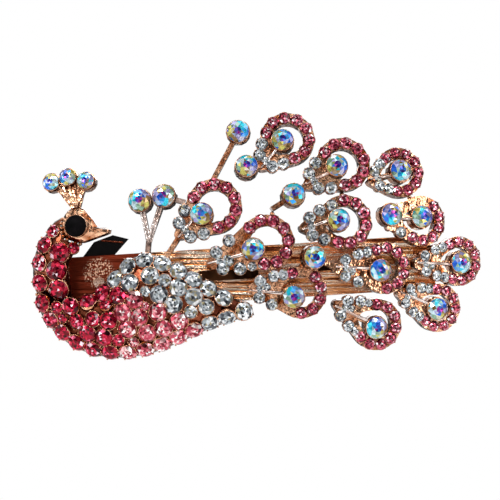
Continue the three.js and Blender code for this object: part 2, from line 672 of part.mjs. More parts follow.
// ---- assembly ----------------------------------------------------------------------------------------
const part = new THREE.Group();

const barrette = new THREE.Group();
barrette.rotation.y = -BAR.tilt;
barrette.add(named("clip_bar", clipBar(), COLOUR.roseGold));
barrette.add(named("clip_arm", clipArm(), COLOUR.steel));
barrette.add(named("hinge_pin", hingePin(), COLOUR.steel));
barrette.add(named("bow_spring", bowSpring(), COLOUR.steel));
barrette.add(named("latch_base", latchBase(), COLOUR.steel));
barrette.add(named("latch_upper_jaw", latchJaw(1), COLOUR.steel));
barrette.add(named("latch_lower_jaw", latchJaw(-1), COLOUR.steel));
barrette.add(named("latch_rivet", latchRivet(), COLOUR.steel));
part.add(barrette);

const head = casting(HEAD, 30);
const neck = casting(NECK, 30);
const body = casting(BODY, 48);
const headCut = throughCut(head.edge);
const bodyCut = throughCut(body.edge);

const crownSeat = seat(domeDepth, CROWN.stones[1]);
const crownStems = [...CROWN.stones.map((stone) => [stone, CROWN.foot]), [CROWN.foot, EYE.at]];
const crownWeb = plate(CROWN.web.map(crownSeat.local), STEM_FOOT, CROWN.thick / 2);
const crownFan = cupsAndStems(crownSeat, CROWN, crownStems)
  .add(crownWeb.transform(crownSeat.matrix.elements));
const eyeSeat = lifted(seat(head.depthAt, EYE.at).matrix, 0, 0, EYE.lift);
part.add(named("head_casting", crowned(head).add(crownFan), COLOUR.roseGold));
part.add(named("neck_casting", crowned(neck).subtract(headCut).subtract(bodyCut), COLOUR.roseGold));
part.add(named("body_casting", crowned(body), COLOUR.roseGold));
part.add(named("crown_stones", cupStones(crownSeat, CROWN), COLOUR.iridescent));
part.add(named("eye_stone", largeStone(EYE.radius, eyeSeat), COLOUR.black));

const plumeSeat = seat(domeDepth, PLUMES.stones[0]);
const plumeStems = [
  ...PLUMES.stones.map((stone) => [stone, PLUMES.join]),
  [PLUMES.join, PLUMES.foot],
  [PLUMES.stones[1], PLUMES.toFeather],
];
const plumes = cupsAndStems(plumeSeat, PLUMES, plumeStems)
  .subtract(bodyCut)
  .subtract(featherCut(FEATHERS[0]));
part.add(named("plume_stems", plumes, COLOUR.roseGold));
part.add(named("plume_stones", cupStones(plumeSeat, PLUMES), COLOUR.iridescent));

const isWing = ({ at: [x, z] }) => z > WING_EDGE.z - WING_EDGE.fall * (x - WING_EDGE.x);
const isBreast = (stone) => !isWing(stone) && stone.at[0] < BREAST_RIGHT;
const isRose = (stone) => !isWing(stone) && !isBreast(stone);
const bodyStones = pavedStones(body);
const neckStones = NECK.stones.map(([x, z, radius]) => ({ at: [x, z], radius }));
part.add(named("neck_stones", stoneGroup(neck, neckStones), COLOUR.pink));
part.add(named("breast_stones", stoneGroup(body, bodyStones.filter(isBreast)), COLOUR.pink));
part.add(named("rose_stones", stoneGroup(body, bodyStones.filter(isRose)), COLOUR.rose));
part.add(named("wing_stones", stoneGroup(body, bodyStones.filter(isWing)), COLOUR.clear));

// Where two feathers meet, the later one is cut back; of what is left, the largest piece is the frame.
FEATHERS.forEach((feather, i) => {
  const cuts = [bodyCut, ...FEATHERS.slice(0, i).map(featherCut)];
  const pieces = cuts.reduce((frame, cut) => frame.subtract(cut), featherFrame(feather)).decompose();
  const frame = pieces.reduce((a, b) => (a.volume() > b.volume() ? a : b));
  part.add(named(`${feather.name}_frame`, frame, COLOUR.roseGold));
  part.add(named(`${feather.name}_small_stones`, featherStones(feather), COLOUR.pink));
  part.add(named(`${feather.name}_centre_stone`, featherStone(feather, feather.eye), COLOUR.iridescent));
});

for (const link of LINK_STONES) {
  const feather = FEATHERS.find(({ name }) => name === link.on);
  part.add(named(link.name, featherStone(feather, link.at), COLOUR.iridescent));
}

export default part;
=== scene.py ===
"""Looks of the peacock hair barrette: rose-gold castings, foil-backed rhinestones and a French clip.

Each CAD stone is found on its node by the flat table on top of it, and is cut again here with all
its facets and set in its own cup. Further small clear stones fill the feathers' flanks. Lengths are
in metres.
"""
import math
import random

import bmesh
import bpy
from mathutils import Matrix, Vector
from mathutils.bvhtree import BVHTree
from mathutils.kdtree import KDTree


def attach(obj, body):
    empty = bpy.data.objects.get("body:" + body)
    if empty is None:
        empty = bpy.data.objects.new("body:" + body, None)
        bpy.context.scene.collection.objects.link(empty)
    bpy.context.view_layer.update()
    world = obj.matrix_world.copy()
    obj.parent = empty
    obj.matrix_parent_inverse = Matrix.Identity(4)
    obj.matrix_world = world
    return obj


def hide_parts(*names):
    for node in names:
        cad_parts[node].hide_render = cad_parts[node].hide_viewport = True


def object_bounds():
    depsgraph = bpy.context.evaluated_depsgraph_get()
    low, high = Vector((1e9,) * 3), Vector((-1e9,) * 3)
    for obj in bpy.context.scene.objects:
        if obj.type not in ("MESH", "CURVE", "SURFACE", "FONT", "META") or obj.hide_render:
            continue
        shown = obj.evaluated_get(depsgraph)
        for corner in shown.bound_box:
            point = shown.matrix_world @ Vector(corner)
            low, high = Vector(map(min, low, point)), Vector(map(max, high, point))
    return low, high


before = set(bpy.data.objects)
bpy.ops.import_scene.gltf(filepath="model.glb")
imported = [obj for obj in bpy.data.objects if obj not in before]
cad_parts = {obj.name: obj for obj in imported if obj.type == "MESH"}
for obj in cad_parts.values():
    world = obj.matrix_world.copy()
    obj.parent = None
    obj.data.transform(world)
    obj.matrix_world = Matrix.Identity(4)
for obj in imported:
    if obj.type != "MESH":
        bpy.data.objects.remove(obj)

CAD_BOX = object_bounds()
BODY = "ornament"
MM = 0.001

# ---- the photograph's view ------------------------------------------------------------------
VIEW_WIDTH = 111.1 * MM      # width of the picture at the object
VIEW_CENTRE = Vector((2.67 * MM, 0.0, 5.33 * MM))
CAMERA_DISTANCE = 0.8
SENSOR = 36.0

FEATHERS = [f"feather_{i:02d}" for i in range(1, 13)]

# ---- the CAD's stone cuts, as shares of the stone's radius --------------------------------------
SMALL_TABLE = 0.55           # a small stone's table
LARGE_TABLE = 0.5
SMALL_SIDES = 6
LARGE_SIDES = 10
SMALL_HEIGHT = 0.65          # from foot to table
LARGE_HEIGHT = 0.42          # from girdle to table
SMALLEST_LARGE = 1.6 * MM    # no large stone has a smaller radius
REACH_SPREAD = 1.08          # a stone's table has corners this alike in reach
EDGE_SPREAD = 1.12           # and edges this alike in length
MERGE = 2e-6                 # CAD corners nearer than this are one
FLAT = math.radians(1.5)     # CAD faces within this angle are one
PINK_SHARE = 0.93            # a feather's clear stones are smaller than this share of its pink ones

# ---- the stones drawn here ----------------------------------------------------------------------
# The CAD stones stand a little apart and the real ones touch, so each kind is drawn this much larger.
GROWTH = {"neck_stones": 1.2, "breast_stones": 1.12, "rose_stones": 1.12, "wing_stones": 1.12}
PINK_GROWTH = 1.1
CLEAR_GROWTH = 1.28
FILLER_SHARES = (0.95, 0.72)  # radii of the stones added between a feather's own, against its clear ones
FILLER_REACH = 4.5           # only stones nearer than this many radii have a filler between them
FILLER_LAP = 0.74            # how close a filler may come to its neighbours
FILLER_SEAT = 0.8            # the share of a filler's radius that must have metal behind it
FACETS = 8
BODY_PRONGS, BODY_PRONG = 5, 0.2 * MM          # how many round each stone, and their radius
FEATHER_PRONGS, FEATHER_PRONG = 4, 0.15 * MM

# ---- ribs and joins -----------------------------------------------------------------------------
RIB_DROP = 0.585 * MM        # how far a feather's rib lies behind its large stone's girdle
RIB_SLACK = 0.12 * MM        # metal this near to that depth is the rib
RIB_SPARE = 0.7 * MM         # the drawn rib runs on this far at both ends
RIB_RADII = (0.2 * MM, 0.42 * MM)        # at the root and at the stone
ROD_SIDES = 10
ROD_TIP = 0.4                # a rod's ends, against its radius
RIB_STEPS = 6
SOLDER_REACH = 0.9 * MM      # castings nearer than this are joined by a bead
SOLDER_BEAD = 0.55 * MM
SEAM_BEAD = 0.42 * MM
SEAM_PITCH = 0.3 * MM
PLUME_JOIN = (-19.6 * MM, 7.2 * MM)      # X and Z where the two plume stems meet
PLUME_RIB = 0.24 * MM
PLUME_RIB_OFFSET = 0.36 * MM  # from the middle of the stem
CROWN_FOOT = (-36.0 * MM, 14.8 * MM)     # X and Z where the crown's ribs meet
CROWN_RIBS = 5
CROWN_RIB = 0.26 * MM
CROWN_SPREAD = (0.12, 0.88)   # the outer ribs' tops, as shares of the way across the crown's stones
CROWN_SPAN = (0.08, 0.85)     # each rib's ends, as shares of the way from the foot to its top
# The fold across the latch's upper finger wing, from X and Z to X and Z.
WING_FOLD = ((-32.8 * MM, 7.6 * MM), (-25.8 * MM, 7.0 * MM))
WING_FOLD_RIB = 0.22 * MM

# ---- rounding of edges and the floor --------------------------------------------------------------
STEEL_EDGE = 0.08 * MM
CAST_EDGE = 0.15 * MM
FEATHER_EDGE = 0.22 * MM
STEM_EDGE = 0.4 * MM
BAR_EDGE = 0.2 * MM
CAST_ANGLE = 55.0            # only sharper edges of the domed castings are rounded, in degrees
FLOOR_DROP = 48 * MM         # below the object, so that the floor is out of the main picture
FLOOR_HALF = 0.16


# ---- node helpers --------------------------------------------------------------------------
def new_material(name):
    material = bpy.data.materials.new(name)
    material.use_nodes = True
    shader = material.node_tree.nodes["Principled BSDF"]
    return material, material.node_tree, shader


def add_node(tree, kind, **settings):
    node = tree.nodes.new(kind)
    for key, value in settings.items():
        if key in node.inputs:
            node.inputs[key].default_value = value
        else:
            setattr(node, key, value)
    return node


def ramp(tree, source, stops):
    node = tree.nodes.new("ShaderNodeValToRGB")
    elements = node.color_ramp.elements
    while len(elements) < len(stops):
        elements.new(0.5)
    for element, (place, colour) in zip(elements, stops):
        element.position = place
        element.color = (*colour, 1.0)
    tree.links.new(source, node.inputs["Fac"])
    return node.outputs["Color"]


def object_noise(tree, scale, detail=4.0, stretch=(1.0, 1.0, 1.0)):
    coordinates = tree.nodes.new("ShaderNodeTexCoord")
    mapping = add_node(tree, "ShaderNodeMapping", Scale=stretch)
    noise = add_node(tree, "ShaderNodeTexNoise", Scale=scale, Detail=detail)
    tree.links.new(coordinates.outputs["Object"], mapping.inputs["Vector"])
    tree.links.new(mapping.outputs["Vector"], noise.inputs["Vector"])
    return noise.outputs["Fac"]


def bump(tree, shader, height, strength, distance):
    node = add_node(tree, "ShaderNodeBump", Strength=strength, Distance=distance)
    tree.links.new(height, node.inputs["Height"])
    tree.links.new(node.outputs["Normal"], shader.inputs["Normal"])


def facing(tree):
    """1 on surfaces that face the front or the back, 0 on side walls."""
    coordinates = tree.nodes.new("ShaderNodeTexCoord")
    parts = tree.nodes.new("ShaderNodeSeparateXYZ")
    tree.links.new(coordinates.outputs["Normal"], parts.inputs["Vector"])
    size = add_node(tree, "ShaderNodeMath", operation="ABSOLUTE")
    tree.links.new(parts.outputs["Y"], size.inputs[0])
    return size.outputs["Value"]


def multiplied(tree, first, second):
    node = add_node(tree, "ShaderNodeMix", data_type="RGBA", blend_type="MULTIPLY")
    node.inputs["Factor"].default_value = 1.0
    tree.links.new(first, node.inputs["A"])
    tree.links.new(second, node.inputs["B"])
    return node.outputs["Result"]


# ---- materials -------------------------------------------------------------------------------
# Painted shade on side walls and, more lightly, on flat fronts, so that the rounded edges between them
# stand out as painted highlights.
PAINTED_SIDE_SHADE = [
    (0.25, (0.10, 0.07, 0.06)),
    (0.60, (1.0, 1.0, 1.0)),
    (0.90, (1.0, 1.0, 1.0)),
    (0.99, (0.80, 0.72, 0.68)),
]
# Painted reflections: the bar's colour in dark and bright streaks.
BAR_REFLECTION_STREAKS = [(0.36, (0.16, 0.03, 0.008)), (0.45, (1.0, 0.40, 0.13)), (0.58, (1.0, 0.86, 0.70))]


def plated_gold(name, dark, light, roughness, wave=220.0, wave_depth=0.0003, stretch=(1.0, 1.0, 1.0)):
    """Polished plate over a cast surface that is a little wavy, so that its reflections break up; its
    colour also goes from dark to light along the same waves as painted reflections, with painted shade on
    its side walls.
    """
    material, tree, shader = new_material(name)
    waves = object_noise(tree, wave, 3.0, stretch)
    # Painted reflections: the colour follows the bump's waves from dark to light.
    painted_wave_sheen = ramp(tree, waves, [(0.35, dark), (0.62, light)])
    # Painted shade: side walls darkened by how far they turn from the front, rounded edges left bright as
    # painted highlights.
    tint = multiplied(tree, painted_wave_sheen, ramp(tree, facing(tree), PAINTED_SIDE_SHADE))
    tree.links.new(tint, shader.inputs["Base Color"])
    shader.inputs["Metallic"].default_value = 1.0
    worn = object_noise(tree, 900.0)
    rough = add_node(tree, "ShaderNodeMapRange")
    rough.inputs["To Min"].default_value = 0.6 * roughness
    rough.inputs["To Max"].default_value = 1.5 * roughness
    tree.links.new(worn, rough.inputs["Value"])
    tree.links.new(rough.outputs["Result"], shader.inputs["Roughness"])
    bump(tree, shader, waves, 0.6, wave_depth)
    return material


def object_axis(tree, axis):
    coordinates = tree.nodes.new("ShaderNodeTexCoord")
    parts = tree.nodes.new("ShaderNodeSeparateXYZ")
    tree.links.new(coordinates.outputs["Object"], parts.inputs["Vector"])
    return parts.outputs[axis]


def fade(tree, value, start, end):
    """0 at start, 1 at end."""
    node = add_node(tree, "ShaderNodeMapRange", interpolation_type="SMOOTHSTEP")
    node.inputs["From Min"].default_value = start
    node.inputs["From Max"].default_value = end
    tree.links.new(value, node.inputs["Value"])
    return node.outputs["Result"]


def math_node(tree, operation, first, second):
    node = add_node(tree, "ShaderNodeMath", operation=operation)
    for socket, value in zip(node.inputs, (first, second)):
        if isinstance(value, (int, float)):
            socket.default_value = value
        else:
            tree.links.new(value, socket)
    return node.outputs["Value"]


def mixed(tree, factor, first, second):
    node = add_node(tree, "ShaderNodeMix", data_type="RGBA")
    tree.links.new(factor, node.inputs["Factor"])
    for socket, value in (("A", first), ("B", second)):
        if isinstance(value, tuple):
            node.inputs[socket].default_value = (*value, 1.0)
        else:
            tree.links.new(value, node.inputs[socket])
    return node.outputs["Result"]


def bar_material():
    """Polished gold with painted reflections as streaks in its colour, and a rough end painted dull
    red-brown as a dark reflection, with a frosted patch whose bright specks are painted glints.
    """
    material, tree, shader = new_material("bar_gold")
    streaks = object_noise(tree, 90.0, 5.0, (0.6, 1.0, 14.0))
    gold = ramp(tree, streaks, BAR_REFLECTION_STREAKS)
    x, z = object_axis(tree, "X"), object_axis(tree, "Z")
    squares = []
    for value, centre, size in zip((x, z), FROST_CENTRE, FROST_SIZE):
        offset = math_node(tree, "DIVIDE", math_node(tree, "SUBTRACT", value, centre), size)
        squares.append(math_node(tree, "MULTIPLY", offset, offset))
    reach = math_node(tree, "ADD", *squares)
    grit = object_noise(tree, 2600.0, 2.0)
    # Painted glints: bright specks across the frosted patch.
    frost_and_glints = math_node(tree, "MULTIPLY", fade(tree, reach, 1.3, 0.6), fade(tree, grit, 0.50, 0.60))
    # Painted reflection: the rough end's dark red-brown.
    end = mixed(tree, frost_and_glints, (0.20, 0.028, 0.010), (0.95, 0.60, 0.42))
    polish = fade(tree, x, DULL_END, DULL_END + 3.0 * MM)
    tree.links.new(mixed(tree, polish, end, gold), shader.inputs["Base Color"])
    shader.inputs["Metallic"].default_value = 0.9
    rough = add_node(tree, "ShaderNodeMapRange")
    rough.inputs["To Min"].default_value = 0.55
    rough.inputs["To Max"].default_value = 0.16
    tree.links.new(polish, rough.inputs["Value"])
    tree.links.new(rough.outputs["Result"], shader.inputs["Roughness"])
    bump(tree, shader, streaks, 0.8, 0.0010)
    return material


def stone_material(name, metallic, roughness):
    """Foil-backed crystal: each facet's colour holds its hue with painted reflections and glints, with a
    faint cloudiness inside it.
    """
    material, tree, shader = new_material(name)
    facet = add_node(tree, "ShaderNodeVertexColor", layer_name="facet")
    clouds = object_noise(tree, 1500.0, 2.0)
    cloud = ramp(tree, clouds, [(0.30, (0.70, 0.70, 0.72)), (0.60, (1.0, 1.0, 1.0))])
    tree.links.new(multiplied(tree, facet.outputs["Color"], cloud), shader.inputs["Base Color"])
    shader.inputs["Metallic"].default_value = metallic
    shader.inputs["Roughness"].default_value = roughness
    shader.inputs["Coat Weight"].default_value = 0.3
    shader.inputs["Coat Roughness"].default_value = 0.02
    return material


def black_material(name, shine, roughness):
    material, tree, shader = new_material(name)
    mottle = object_noise(tree, 700.0)
    tint = ramp(tree, mottle, [(0.3, (0.002, 0.002, 0.002)), (0.7, (0.006, 0.005, 0.006))])
    tree.links.new(tint, shader.inputs["Base Color"])
    shader.inputs["Roughness"].default_value = roughness
    shader.inputs["Specular IOR Level"].default_value = shine
    return material


# The dull end of the bar, rough and painted dark red-brown as a reflection, and the frosted patch on it,
# with painted glints.
DULL_END = -21.5 * MM
FROST_CENTRE = (-31.0 * MM, 0.2 * MM)
FROST_SIZE = (3.4 * MM, 3.4 * MM)

GOLD = plated_gold("rose_gold", (0.36, 0.09, 0.02), (1.0, 0.60, 0.38), 0.13, 420.0, 0.0007)
SILVERY_GOLD = plated_gold("silvery_gold", (0.52, 0.36, 0.30), (0.90, 0.80, 0.76), 0.12)
# Painted shade and sheen: a dark copy of the gold for the castings seen only in the gaps between stones,
# and for the painted highlight along the wing's fold.
SHADE_AND_SHEEN_GOLD = plated_gold("painted_shade_and_sheen_gold", (0.05, 0.008, 0.005), (0.26, 0.07, 0.035), 0.25)
# Painted shade: the bow spring is seen only through the bar's slot, so its gold is made nearly black.
SHADED_SPRING_METAL = plated_gold("painted_shade_spring", (0.006, 0.003, 0.002), (0.10, 0.045, 0.02), 0.35)
BAR_GOLD = bar_material()
STEEL = plated_gold("clip_steel", (0.50, 0.30, 0.22), (0.85, 0.66, 0.56), 0.22,
                    120.0, 0.0004, (1.0, 1.0, 10.0))
DARK_STEEL = black_material("dark_steel", 0.10, 0.35)
RUBY = stone_material("ruby_crystal", 0.8, 0.12)
ROSE = stone_material("rose_crystal", 0.7, 0.12)
CLEAR = stone_material("clear_crystal", 0.5, 0.10)
IRIDESCENT = stone_material("iridescent_crystal", 0.45, 0.10)
BLACK = black_material("black_cabochon", 0.02, 0.4)

# Facet colours of each kind of stone: its hue with painted reflections from dark to bright and a few
# painted white glints, from the ones seen most to the ones seen least.
FACET_HUES_AND_PAINTED_LIGHT = {
    "ruby": [(0.42, 0.003, 0.026), (0.16, 0.001, 0.007), (0.72, 0.010, 0.060), (0.040, 0.0005, 0.002),
             (0.95, 0.12, 0.24), (1.3, 0.85, 0.95)],
    "pink": [(0.42, 0.035, 0.075), (0.17, 0.006, 0.016), (0.70, 0.130, 0.200), (0.05, 0.002, 0.004),
             (0.95, 0.45, 0.54), (1.3, 1.1, 1.12)],
    "rose": [(0.58, 0.060, 0.105), (0.28, 0.012, 0.025), (0.82, 0.22, 0.27), (0.09, 0.004, 0.008),
             (1.0, 0.56, 0.56), (1.4, 1.2, 1.15)],
    "clear": [(0.34, 0.38, 0.40), (0.10, 0.11, 0.13), (0.70, 0.76, 0.80), (0.02, 0.022, 0.028),
              (1.0, 1.0, 1.0), (0.40, 0.34, 0.20)],
}
WEIGHTS = {
    "ruby": [30, 24, 20, 12, 8, 5],
    "pink": [28, 20, 22, 10, 12, 6],
    "rose": [28, 18, 24, 8, 14, 10],
    "clear": [26, 18, 22, 12, 16, 8],
}
# An iridescent stone's colours in order round it, and the painted dark reflections in its heart.
SECTORS = [(0.02, 0.16, 0.85), (0.02, 0.38, 0.95), (0.03, 0.75, 0.95), (0.62, 0.82, 0.90),
           (0.30, 0.50, 0.36), (0.62, 0.56, 0.12), (0.30, 0.17, 0.05), (0.36, 0.34, 0.62)]
HEART_REFLECTIONS = [(0.03, 0.03, 0.42), (0.10, 0.01, 0.35), (0.02, 0.02, 0.20), (0.45, 0.02, 0.30), (0.02, 0.20, 0.70)]


# ---- reading the CAD nodes --------------------------------------------------------------------
def tables(node, sides):
    """(centre, outward normal, radius) of each flat stone table on a CAD node, front-facing ones only."""
    mesh = bmesh.new()
    mesh.from_mesh(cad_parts[node].data)
    bmesh.ops.remove_doubles(mesh, verts=mesh.verts, dist=MERGE)
    bmesh.ops.dissolve_limit(mesh, angle_limit=FLAT, verts=mesh.verts, edges=mesh.edges)
    found = []
    for face in mesh.faces:
        centre = face.calc_center_median()
        reaches = [(corner.co - centre).length for corner in face.verts]
        edges = [edge.calc_length() for edge in face.edges]
        is_round = max(reaches) < REACH_SPREAD * min(reaches)
        is_regular = is_round and max(edges) < EDGE_SPREAD * min(edges)
        if len(face.verts) == sides and is_regular and face.normal.y < 0:
            found.append((centre, face.normal.copy(), max(reaches)))
    mesh.free()
    return sorted(found, key=lambda table: (round(table[0].x, 5), round(table[0].z, 5)))


def small_stones(node):
    """Each small stone on a node as (girdle centre, normal, radius)."""
    stones = []
    for centre, normal, reach in tables(node, SMALL_SIDES):
        radius = reach / SMALL_TABLE
        stones.append((centre - normal * SMALL_HEIGHT * radius, normal, radius))
    return stones


def grown(stones, share):
    return [(centre, normal, share * radius) for centre, normal, radius in stones]


def large_stones(node):
    stones = []
    for centre, normal, reach in tables(node, LARGE_SIDES):
        radius = reach / LARGE_TABLE
        if radius > SMALLEST_LARGE:
            stones.append((centre - normal * LARGE_HEIGHT * radius, normal, radius))
    return stones


# ---- meshes ------------------------------------------------------------------------------------
class Pieces:
    """Gathers many small closed shapes, then makes them one mesh object."""

    def __init__(self):
        self.points, self.faces, self.colours = [], [], []

    def add(self, points, faces, place, colours=None):
        start = len(self.points)
        self.points += [place @ Vector(point) for point in points]
        self.faces += [[start + i for i in face] for face in faces]
        self.colours += colours or []

    def object(self, name, material, smooth=False, body=BODY):
        mesh = bpy.data.meshes.new(name)
        mesh.from_pydata(self.points, [], self.faces)
        if self.colours:
            layer = mesh.color_attributes.new("facet", "FLOAT_COLOR", "CORNER")
            for face, colour in zip(mesh.polygons, self.colours):
                for corner in face.loop_indices:
                    layer.data[corner].color = (*colour, 1.0)
        mesh.polygons.foreach_set("use_smooth", [smooth] * len(mesh.polygons))
        mesh.materials.append(material)
        piece = bpy.data.objects.new(name, mesh)
        bpy.context.scene.collection.objects.link(piece)
        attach(piece, body)
        return piece


def placed(centre, normal, scale, spin=0.0):
    """Local z along the normal, local x as near to +X as it can be, then turned by spin."""
    x_axis = (Vector((1.0, 0.0, 0.0)) - normal * normal.x).normalized()
    y_axis = normal.cross(x_axis)
    basis = Matrix((x_axis, y_axis, normal)).transposed().to_4x4()
    return Matrix.Translation(centre) @ basis @ Matrix.Rotation(spin, 4, "Z") @ Matrix.Scale(scale, 4)


def ring_of(count, radius, height, shift=0.0):
    turn = 2 * math.pi / count
    return [(radius * math.cos((i + shift) * turn), radius * math.sin((i + shift) * turn), height)
            for i in range(count)]


def brilliant():
    """A round cut stone of radius 1 with its girdle at height 0: (points, faces, zone of each face)."""
    n = FACETS
    points = [(0.0, 0.0, 0.43)]
    # The heart's facets carry a painted reflection of the foil seen through the table.
    points += ring_of(n, 0.34, 0.45, 0.5)            # heart, the foil seen through the table
    points += ring_of(n, 0.62, 0.41)                 # table edge
    points += ring_of(n, 0.84, 0.24, 0.5)            # crown
    points += ring_of(2 * n, 1.0, 0.04)              # girdle
    points += ring_of(2 * n, 1.0, -0.04)
    points += ring_of(2 * n, 0.62, -0.36)            # foot
    inner, table, crown, girdle = 1, 1 + n, 1 + 2 * n, 1 + 3 * n
    lower, foot = 1 + 5 * n, 1 + 7 * n
    faces, zones = [], []

    def face(zone, *corners):
        faces.append(corners)
        zones.append(zone)

    for i in range(n):
        after, before = (i + 1) % n, (i - 1) % n
        face("heart", 0, inner + i, inner + after)
        face("table", inner + i, table + after, inner + after)
        face("table", inner + i, table + i, table + after)
        face("star", table + i, crown + i, table + after)
        face("kite", table + i, crown + before, girdle + 2 * i, crown + i)
        face("edge", crown + i, girdle + 2 * i, girdle + 2 * i + 1)
        face("edge", crown + i, girdle + 2 * i + 1, girdle + (2 * i + 2) % (2 * n))
    for i in range(2 * n):
        after = (i + 1) % (2 * n)
        face("girdle", girdle + i, lower + i, lower + after, girdle + after)
        face("back", lower + i, foot + i, foot + after, lower + after)
    face("back", *[foot + i for i in reversed(range(2 * n))])
    return points, faces, zones


BRILLIANT = brilliant()
# Painted shade: the girdle, back and edge facets are darkened.
PAINTED_SHADE_ZONES = {"girdle": 0.30, "back": 0.20, "edge": 0.75}


def iridescent_colour(zone, angle, start, chance):
    """Rainbow sectors round a stone, with a painted dark blue and violet reflection in its heart and some
    facets paled by painted glints.
    """
    if zone == "heart":
        return chance.choice(HEART_REFLECTIONS)
    shift = chance.choice((0, 0, 0, 0.6, 1.2, 3.5))
    sector = SECTORS[int(angle * len(SECTORS) / (2 * math.pi) + start + shift) % len(SECTORS)]
    # Painted glints: some facets are paled towards white.
    pale = chance.choice((0.0, 0.0, 0.0, 0.0, 0.15, 0.5)) if zone != "edge" else 0.0
    return tuple(part + pale * (1.0 - part) for part in sector)


def facet_colours(kind, chance):
    points, faces, zones = BRILLIANT
    start = chance.uniform(0, len(SECTORS))
    colours = []
    for face, zone in zip(faces, zones):
        if kind == "iridescent":
            x, y = (sum(points[corner][axis] for corner in face) for axis in (0, 1))
            colour = iridescent_colour(zone, math.atan2(y, x) % (2 * math.pi), start, chance)
        else:
            colour = chance.choices(FACET_HUES_AND_PAINTED_LIGHT[kind], WEIGHTS[kind])[0]
        shade = PAINTED_SHADE_ZONES.get(zone, 1.0) * chance.uniform(0.8, 1.15)
        colours.append(tuple(shade * part for part in colour))
    return colours


def set_stones(name, stones, kind, material, chance):
    gathered = Pieces()
    points, faces, _ = BRILLIANT
    for centre, normal, radius in stones:
        place = placed(centre, normal, radius, chance.uniform(0, 2 * math.pi))
        gathered.add(points, faces, place, facet_colours(kind, chance))
    return gathered.object(name, material)


def lathe_ring(profile, count):
    """A closed ring: the profile's points turned about z, and joined back to the first."""
    points, faces = [], []
    for radius, height in profile:
        points += ring_of(count, radius, height)
    rows = len(profile)
    for row in range(rows):
        below = (row + 1) % rows
        for i in range(count):
            after = (i + 1) % count
            faces.append([row * count + i, below * count + i, below * count + after, row * count + after])
    return points, faces


# A cup's wall as radius and height, from its lip down the outside and up the inside.
CUP_PROFILE = [
    (0.97, 0.0), (1.01, 0.03), (1.045, -0.02), (1.05, -0.2), (1.02, -0.6), (0.78, -0.6), (0.84, -0.1),
]
CUP_SIDES = 20
CUP = lathe_ring(CUP_PROFILE, CUP_SIDES)
PRONG_PLACE = (1.02, 0.0, 0.08)


def bead():
    sphere = bmesh.new()
    bmesh.ops.create_icosphere(sphere, subdivisions=2, radius=1.0)
    points = [tuple(corner.co) for corner in sphere.verts]
    faces = [[corner.index for corner in face.verts] for face in sphere.faces]
    sphere.free()
    return points, faces


BEAD = bead()


def set_cups(name, stones, prongs, prong_radius):
    """A thin-walled cup round each stone, with small beads of metal pushed over its edge."""
    gathered = Pieces()
    for centre, normal, radius in stones:
        gathered.add(*CUP, placed(centre, normal, radius))
        for i in range(prongs):
            place = placed(centre, normal, radius, (i + 0.5) * 2 * math.pi / prongs)
            spot = place @ Vector(PRONG_PLACE)
            gathered.add(*BEAD, placed(spot, normal, prong_radius))
    gathered.object(name, GOLD, smooth=True)


# ---- body, neck and head stones -----------------------------------------------------------------
def bird_stones():
    chance = random.Random(11)
    kinds = {
        "neck_stones": ("ruby", RUBY, "ruby_crystal"),
        "breast_stones": ("ruby", RUBY, "ruby_crystal"),
        "rose_stones": ("rose", ROSE, "rose_crystal"),
        "wing_stones": ("clear", CLEAR, "clear_crystal"),
    }
    for node, (kind, material, slot) in kinds.items():
        stones = grown(small_stones(node), GROWTH[node])
        piece = set_stones(f"{node}_cut", stones, kind, material, chance)
        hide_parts(node)
        set_cups(f"{node}_cups", stones, BODY_PRONGS, BODY_PRONG)


def filler_stones(feather, clear, pink, centre_stone):
    """Clear stones between a feather's own ones, wherever its metal has room for them."""
    front = front_of(f"{feather}_frame")
    fillers = []
    for i, (first, first_normal, radius) in enumerate(clear):
        for second, second_normal, _ in clear[i + 1:] + pink:
            if (second - first).length > FILLER_REACH * radius:
                continue
            centre = (first + second) / 2
            for size in (share * radius for share in FILLER_SHARES):
                taken = clear + pink + centre_stone + fillers
                has_room = all((centre - place).length > FILLER_LAP * (size + reach)
                               for place, _, reach in taken)
                edge = [(centre.x + x, centre.z + z) for x, z, _ in ring_of(8, FILLER_SEAT * size, 0.0)]
                if has_room and all(front(x, z) for x, z in edge):
                    fillers.append((centre, (first_normal + second_normal).normalized(), size))
                    break
    return fillers


def feather_stones():
    """Pink stones round each ring, clear ones down its flanks, and the large one in the middle."""
    chance = random.Random(23)
    for feather in FEATHERS:
        stones = small_stones(f"{feather}_small_stones")
        largest = max(radius for _, _, radius in stones)
        pink = grown([stone for stone in stones if stone[2] > PINK_SHARE * largest], PINK_GROWTH)
        clear = grown([stone for stone in stones if stone[2] <= PINK_SHARE * largest], CLEAR_GROWTH)
        centre_stone = large_stones(f"{feather}_centre_stone")
        clear += filler_stones(feather, clear, pink, centre_stone)
        piece = set_stones(f"{feather}_pink_stones", pink, "pink", RUBY, chance)
        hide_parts(f"{feather}_small_stones")
        if clear:
            set_stones(f"{feather}_clear_stones", clear, "clear", CLEAR, chance)
        set_cups(f"{feather}_small_cups", pink + clear, FEATHER_PRONGS, FEATHER_PRONG)
        large_stone(f"{feather}_centre_stone", chance)


def large_stone(node, chance):
    stones = large_stones(node)
    piece = set_stones(f"{node}_cut", stones, "iridescent", IRIDESCENT, chance)
    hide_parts(node)
    set_cups(f"{node}_cup", stones, 0, 0.0)


def other_large_stones():
    chance = random.Random(37)
    for node in ["crown_stones", "plume_stones", *[f"link_stone_{i}" for i in range(1, 6)]]:
        large_stone(node, chance)


# The eye as radius and height, from its flat top down to its foot.
EYE_TOP = 0.40
EYE_PROFILE = [(0.55, 0.385), (0.80, 0.30), (0.94, 0.15), (1.0, 0.0), (0.96, -0.3)]
EYE_SIDES = 40


